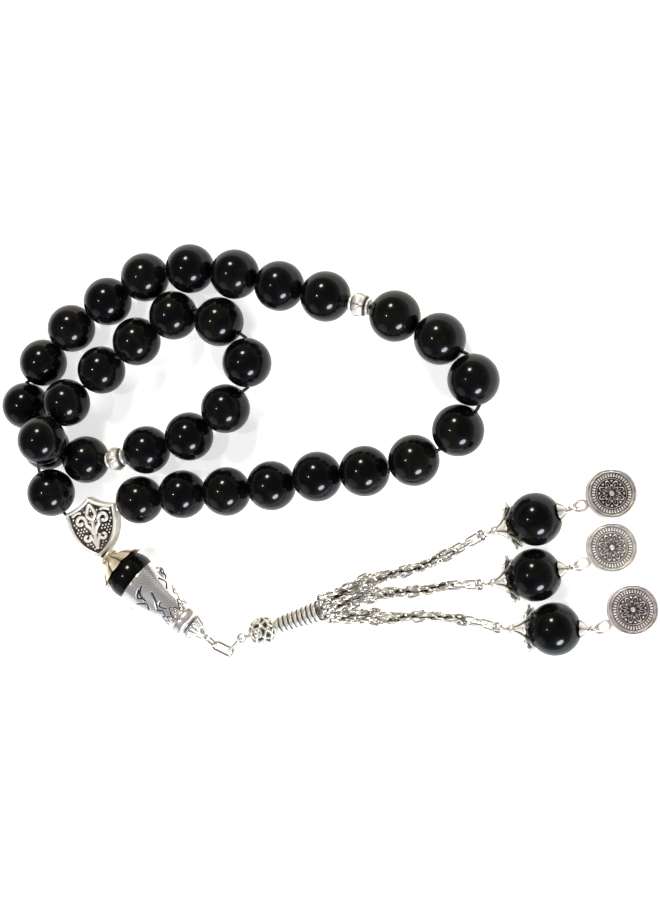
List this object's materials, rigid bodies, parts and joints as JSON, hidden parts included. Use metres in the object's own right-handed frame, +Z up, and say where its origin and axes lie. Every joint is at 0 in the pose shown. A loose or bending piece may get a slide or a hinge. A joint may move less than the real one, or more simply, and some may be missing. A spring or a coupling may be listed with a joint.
{
  "type": "misbaha prayer beads",
  "caption": "Looped string of polished round black beads with small ribbed metal dividers, a shield connector, a vase-shaped leader bead and a tassel of chains ending in beads and coins.",
  "frame": {"origin": "middle of the underside of the whole, on the surface that the beads lie on", "axes": "+Z up from that surface; +X from the left of the loop towards the tassel's coins; +Y from the tassel towards the far side of the loop"},
  "size_m": [0.1388, 0.085, 0.0189],
  "materials": {
    "onyx": "polished black stone, glossy and opaque",
    "silver": "antique silver, bright on the high places and dark in the hollows",
    "cord": "thin black twisted cord"
  },
  "bodies": {
    "loop_string": {"string": "cord", "shield": "silver", "imame_eye_pin": "silver"},
    "imame_cap": {"imame_cap": "silver"},
    "imame_bead": {"imame_bead": "onyx"},
    "imame_sleeve": {"imame_sleeve": "silver"},
    "tassel_link_1": {"tassel_link_1": "silver"},
    "tassel_link_2": {"tassel_link_2": "silver"},
    "tassel_tube": {"tassel_tube": "silver"},
    "tassel_ball": {"tassel_ball": "silver"},
    "chain_a": {"chain_a": "silver"},
    "tassel_pin_a": {"tassel_pin_a": "silver", "flower_cap_a": "silver"},
    "tassel_bead_a": {"tassel_bead_a": "onyx"},
    "coin_a": {"coin_a": "silver"},
    "chain_b": {"chain_b": "silver"},
    "tassel_pin_b": {"tassel_pin_b": "silver", "flower_cap_b": "silver"},
    "tassel_bead_b": {"tassel_bead_b": "onyx"},
    "coin_b": {"coin_b": "silver"},
    "chain_c": {"chain_c": "silver"},
    "tassel_pin_c": {"tassel_pin_c": "silver", "flower_cap_c": "silver"},
    "tassel_bead_c": {"tassel_bead_c": "onyx"},
    "coin_c": {"coin_c": "silver"},
    "divider_1": {"divider_1": "silver"},
    "divider_2": {"divider_2": "silver"},
    "bead_01": {"bead_01": "onyx"},
    "bead_02": {"bead_02": "onyx"},
    "bead_03": {"bead_03": "onyx"},
    "bead_04": {"bead_04": "onyx"},
    "bead_05": {"bead_05": "onyx"},
    "bead_06": {"bead_06": "onyx"},
    "bead_07": {"bead_07": "onyx"},
    "bead_08": {"bead_08": "onyx"},
    "bead_09": {"bead_09": "onyx"},
    "bead_10": {"bead_10": "onyx"},
    "bead_11": {"bead_11": "onyx"},
    "bead_12": {"bead_12": "onyx"},
    "bead_13": {"bead_13": "onyx"},
    "bead_14": {"bead_14": "onyx"},
    "bead_15": {"bead_15": "onyx"},
    "bead_16": {"bead_16": "onyx"},
    "bead_17": {"bead_17": "onyx"},
    "bead_18": {"bead_18": "onyx"},
    "bead_19": {"bead_19": "onyx"},
    "bead_20": {"bead_20": "onyx"},
    "bead_21": {"bead_21": "onyx"},
    "bead_22": {"bead_22": "onyx"},
    "bead_23": {"bead_23": "onyx"},
    "bead_24": {"bead_24": "onyx"},
    "bead_25": {"bead_25": "onyx"},
    "bead_26": {"bead_26": "onyx"},
    "bead_27": {"bead_27": "onyx"},
    "bead_28": {"bead_28": "onyx"},
    "bead_29": {"bead_29": "onyx"},
    "bead_30": {"bead_30": "onyx"},
    "bead_31": {"bead_31": "onyx"},
    "bead_32": {"bead_32": "onyx"},
    "bead_33": {"bead_33": "onyx"}
  },
  "joints": [
    {"name": "imame_cap_spin", "type": "hinge", "parent": "loop_string", "child": "imame_cap", "pos_m": [-0.03855, -0.02617, 0.00562], "axis": [0.7904, -0.6021, -0.1132], "continuous": true},
    {"name": "imame_bead_spin", "type": "hinge", "parent": "loop_string", "child": "imame_bead", "pos_m": [-0.03855, -0.02617, 0.00562], "axis": [0.7904, -0.6021, -0.1132], "continuous": true},
    {"name": "imame_sleeve_spin", "type": "hinge", "parent": "loop_string", "child": "imame_sleeve", "pos_m": [-0.03855, -0.02617, 0.00562], "axis": [0.7904, -0.6021, -0.1132], "continuous": true},
    {"name": "link_1_swing", "type": "hinge", "parent": "loop_string", "child": "tassel_link_1", "pos_m": [-0.02015, -0.04016, 0.00285], "axis": [0.2174, -0.1061, 0.9703], "range_deg": [-60, 4]},
    {"name": "link_2_lift", "type": "hinge", "parent": "tassel_link_1", "child": "tassel_link_2", "pos_m": [-0.01705, -0.04061, 0.00215], "axis": [0.682, -0.7314, 0], "range_deg": [0, 60]},
    {"name": "tassel_swing", "type": "hinge", "parent": "tassel_link_2", "child": "tassel_tube", "pos_m": [-0.01437, -0.03817, 0.00309], "axis": [0.0162, 0.0064, 0.9998], "range_deg": [-45, 4]},
    {"name": "tassel_ball_spin", "type": "hinge", "parent": "tassel_tube", "child": "tassel_ball", "pos_m": [-0.00972, -0.03633, 0.003], "axis": [0.9296, 0.3681, -0.0175], "continuous": true},
    {"name": "chain_a_lift", "type": "hinge", "parent": "tassel_tube", "child": "chain_a", "pos_m": [0.0031, -0.02921, 0.00275], "axis": [0.3681, -0.9298, 0], "range_deg": [0, 50]},
    {"name": "tassel_pin_a_lift", "type": "hinge", "parent": "chain_a", "child": "tassel_pin_a", "pos_m": [0.03727, -0.01411, 0.00431], "axis": [0.309, -0.9511, 0], "range_deg": [0, 30]},
    {"name": "tassel_bead_a_spin", "type": "hinge", "parent": "tassel_pin_a", "child": "tassel_bead_a", "pos_m": [0.04695, -0.01097, 0.00502], "axis": [0.9487, 0.3083, 0.0698], "continuous": true},
    {"name": "coin_a_lift", "type": "hinge", "parent": "tassel_pin_a", "child": "coin_a", "pos_m": [0.05425, -0.00859, 0.00556], "axis": [0.4067, -0.9135, 0], "range_deg": [0, 70]},
    {"name": "chain_b_lift", "type": "hinge", "parent": "tassel_tube", "child": "chain_b", "pos_m": [0.0038, -0.03097, 0.00275], "axis": [0.3681, -0.9298, 0], "range_deg": [0, 50]},
    {"name": "tassel_pin_b_lift", "type": "hinge", "parent": "chain_b", "child": "tassel_pin_b", "pos_m": [0.03705, -0.02393, 0.00466], "axis": [0.2419, -0.9703, 0], "range_deg": [0, 30]},
    {"name": "tassel_bead_b_spin", "type": "hinge", "parent": "tassel_pin_b", "child": "tassel_bead_b", "pos_m": [0.04695, -0.02147, 0.00502], "axis": [0.9697, 0.2418, 0.0349], "continuous": true},
    {"name": "coin_b_lift", "type": "hinge", "parent": "tassel_pin_b", "child": "coin_b", "pos_m": [0.05441, -0.0196, 0.00529], "axis": [0.5299, -0.848, 0], "range_deg": [0, 70]},
    {"name": "chain_c_lift", "type": "hinge", "parent": "tassel_tube", "child": "chain_c", "pos_m": [0.0045, -0.03274, 0.00275], "axis": [0.3681, -0.9298, 0], "range_deg": [0, 50]},
    {"name": "tassel_pin_c_lift", "type": "hinge", "parent": "chain_c", "child": "tassel_pin_c", "pos_m": [0.04058, -0.03218, 0.00466], "axis": [0.0698, -0.9976, 0], "range_deg": [0, 30]},
    {"name": "tassel_bead_c_spin", "type": "hinge", "parent": "tassel_pin_c", "child": "tassel_bead_c", "pos_m": [0.05074, -0.03146, 0.00502], "axis": [0.997, 0.0697, 0.0349], "continuous": true},
    {"name": "coin_c_lift", "type": "hinge", "parent": "tassel_pin_c", "child": "coin_c", "pos_m": [0.05842, -0.03093, 0.00529], "axis": [0.5446, -0.8387, 0], "range_deg": [0, 70]},
    {"name": "divider_1_spin", "type": "hinge", "parent": "loop_string", "child": "divider_1", "pos_m": [0.01206, 0.02958, 0.00502], "axis": [-0.9718, 0.2357, 0.0005], "continuous": true},
    {"name": "divider_2_spin", "type": "hinge", "parent": "loop_string", "child": "divider_2", "pos_m": [-0.04223, -0.00171, 0.00502], "axis": [0.9653, 0.261, -0.0068], "continuous": true},
    {"name": "bead_01_spin", "type": "hinge", "parent": "loop_string", "child": "bead_01", "pos_m": [-0.03685, -0.01017, 0.00502], "axis": [0.9332, 0.3589, -0.0192], "continuous": true},
    {"name": "bead_02_spin", "type": "hinge", "parent": "loop_string", "child": "bead_02", "pos_m": [-0.02688, -0.00869, 0.00502], "axis": [0.9995, -0.0269, 0.0146], "continuous": true},
    {"name": "bead_03_spin", "type": "hinge", "parent": "loop_string", "child": "bead_03", "pos_m": [-0.01683, -0.00779, 0.00502], "axis": [0.9848, 0.1733, -0.0113], "continuous": true},
    {"name": "bead_04_spin", "type": "hinge", "parent": "loop_string", "child": "bead_04", "pos_m": [-0.00685, -0.0063, 0.00502], "axis": [0.9886, 0.1502, 0.0086], "continuous": true},
    {"name": "bead_05_spin", "type": "hinge", "parent": "loop_string", "child": "bead_05", "pos_m": [0.00301, -0.00419, 0.00502], "axis": [0.9706, 0.2404, -0.0062], "continuous": true},
    {"name": "bead_06_spin", "type": "hinge", "parent": "loop_string", "child": "bead_06", "pos_m": [0.01301, -0.00283, 0.00502], "axis": [0.9986, 0.053, 0.004], "continuous": true},
    {"name": "bead_07_spin", "type": "hinge", "parent": "loop_string", "child": "bead_07", "pos_m": [0.02307, -0.00048, 0.00502], "axis": [0.9215, 0.3884, -0.0023], "continuous": true},
    {"name": "bead_08_spin", "type": "hinge", "parent": "loop_string", "child": "bead_08", "pos_m": [0.03185, 0.00545, 0.00502], "axis": [0.6893, 0.7245, 0.0013], "continuous": true},
    {"name": "bead_09_spin", "type": "hinge", "parent": "loop_string", "child": "bead_09", "pos_m": [0.03484, 0.01508, 0.00502], "axis": [-0.2358, 0.9718, -0.0007], "continuous": true},
    {"name": "bead_10_spin", "type": "hinge", "parent": "loop_string", "child": "bead_10", "pos_m": [0.02819, 0.02287, 0.00502], "axis": [-0.8708, 0.4916, 0.0005], "continuous": true},
    {"name": "bead_11_spin", "type": "hinge", "parent": "loop_string", "child": "bead_11", "pos_m": [0.01914, 0.0273, 0.00502], "axis": [-0.933, 0.3598, -0.0003], "continuous": true},
    {"name": "bead_12_spin", "type": "hinge", "parent": "loop_string", "child": "bead_12", "pos_m": [0.00483, 0.03134, 0.00502], "axis": [-0.976, 0.2176, -0.0001], "continuous": true},
    {"name": "bead_13_spin", "type": "hinge", "parent": "loop_string", "child": "bead_13", "pos_m": [-0.00501, 0.0336, 0.00502], "axis": [-0.9679, 0.2514, 0.0001], "continuous": true},
    {"name": "bead_14_spin", "type": "hinge", "parent": "loop_string", "child": "bead_14", "pos_m": [-0.01477, 0.03618, 0.00502], "axis": [-0.9714, 0.2376, -0.0001], "continuous": true},
    {"name": "bead_15_spin", "type": "hinge", "parent": "loop_string", "child": "bead_15", "pos_m": [-0.02476, 0.03753, 0.00502], "axis": [-0.9987, 0.0504, 0], "continuous": true},
    {"name": "bead_16_spin", "type": "hinge", "parent": "loop_string", "child": "bead_16", "pos_m": [-0.03515, 0.03604, 0.00502], "axis": [-0.9268, -0.3755, 0.0001], "continuous": true},
    {"name": "bead_17_spin", "type": "hinge", "parent": "loop_string", "child": "bead_17", "pos_m": [-0.04401, 0.03122, 0.00502], "axis": [-0.8616, -0.5076, -0.0001], "continuous": true},
    {"name": "bead_18_spin", "type": "hinge", "parent": "loop_string", "child": "bead_18", "pos_m": [-0.05282, 0.02571, 0.00502], "axis": [-0.7865, -0.6176, 0.0002], "continuous": true},
    {"name": "bead_19_spin", "type": "hinge", "parent": "loop_string", "child": "bead_19", "pos_m": [-0.05985, 0.01848, 0.00502], "axis": [-0.6624, -0.7491, -0.0004], "continuous": true},
    {"name": "bead_20_spin", "type": "hinge", "parent": "loop_string", "child": "bead_20", "pos_m": [-0.06436, 0.00923, 0.00502], "axis": [-0.0389, -0.9992, 0.0006], "continuous": true},
    {"name": "bead_21_spin", "type": "hinge", "parent": "loop_string", "child": "bead_21", "pos_m": [-0.05938, 0.00045, 0.00502], "axis": [0.8461, -0.533, -0.001], "continuous": true},
    {"name": "bead_22_spin", "type": "hinge", "parent": "loop_string", "child": "bead_22", "pos_m": [-0.04961, -0.00205, 0.00502], "axis": [1, -0.0043, 0.0018], "continuous": true},
    {"name": "bead_23_spin", "type": "hinge", "parent": "loop_string", "child": "bead_23", "pos_m": [-0.03513, 0.00032, 0.00502], "axis": [0.9733, 0.2296, 0.0047], "continuous": true},
    {"name": "bead_24_spin", "type": "hinge", "parent": "loop_string", "child": "bead_24", "pos_m": [-0.02524, 0.0033, 0.00502], "axis": [0.9156, 0.4021, -0.0073], "continuous": true},
    {"name": "bead_25_spin", "type": "hinge", "parent": "loop_string", "child": "bead_25", "pos_m": [-0.01697, 0.00909, 0.00502], "axis": [0.7347, 0.6783, 0.0106], "continuous": true},
    {"name": "bead_26_spin", "type": "hinge", "parent": "loop_string", "child": "bead_26", "pos_m": [-0.01214, 0.0184, 0.00502], "axis": [-0.0489, 0.9986, -0.0179], "continuous": true},
    {"name": "bead_27_spin", "type": "hinge", "parent": "loop_string", "child": "bead_27", "pos_m": [-0.01831, 0.02669, 0.00502], "axis": [-0.8856, 0.4632, 0.0322], "continuous": true},
    {"name": "bead_28_spin", "type": "hinge", "parent": "loop_string", "child": "bead_28", "pos_m": [-0.02865, 0.02812, 0.00502], "axis": [-0.9659, -0.2505, -0.0652], "continuous": true},
    {"name": "bead_29_spin", "type": "hinge", "parent": "loop_string", "child": "bead_29", "pos_m": [-0.03725, 0.02285, 0.00502], "axis": [-0.734, -0.6696, 0.1135], "continuous": true},
    {"name": "bead_30_spin", "type": "hinge", "parent": "loop_string", "child": "bead_30", "pos_m": [-0.04558, 0.01691, 0.00513], "axis": [-0.8273, -0.539, -0.1585], "continuous": true},
    {"name": "bead_31_spin", "type": "hinge", "parent": "loop_string", "child": "bead_31", "pos_m": [-0.05276, 0.01004, 0.00744], "axis": [-0.3252, -0.5598, 0.7622], "continuous": true},
    {"name": "bead_32_spin", "type": "hinge", "parent": "loop_string", "child": "bead_32", "pos_m": [-0.0547, 0.00239, 0.01395], "axis": [-0.1925, -0.9805, 0.0388], "continuous": true},
    {"name": "bead_33_spin", "type": "hinge", "parent": "loop_string", "child": "bead_33", "pos_m": [-0.05576, -0.00895, 0.00906], "axis": [0.1992, -0.8228, -0.5322], "continuous": true}
  ]
}
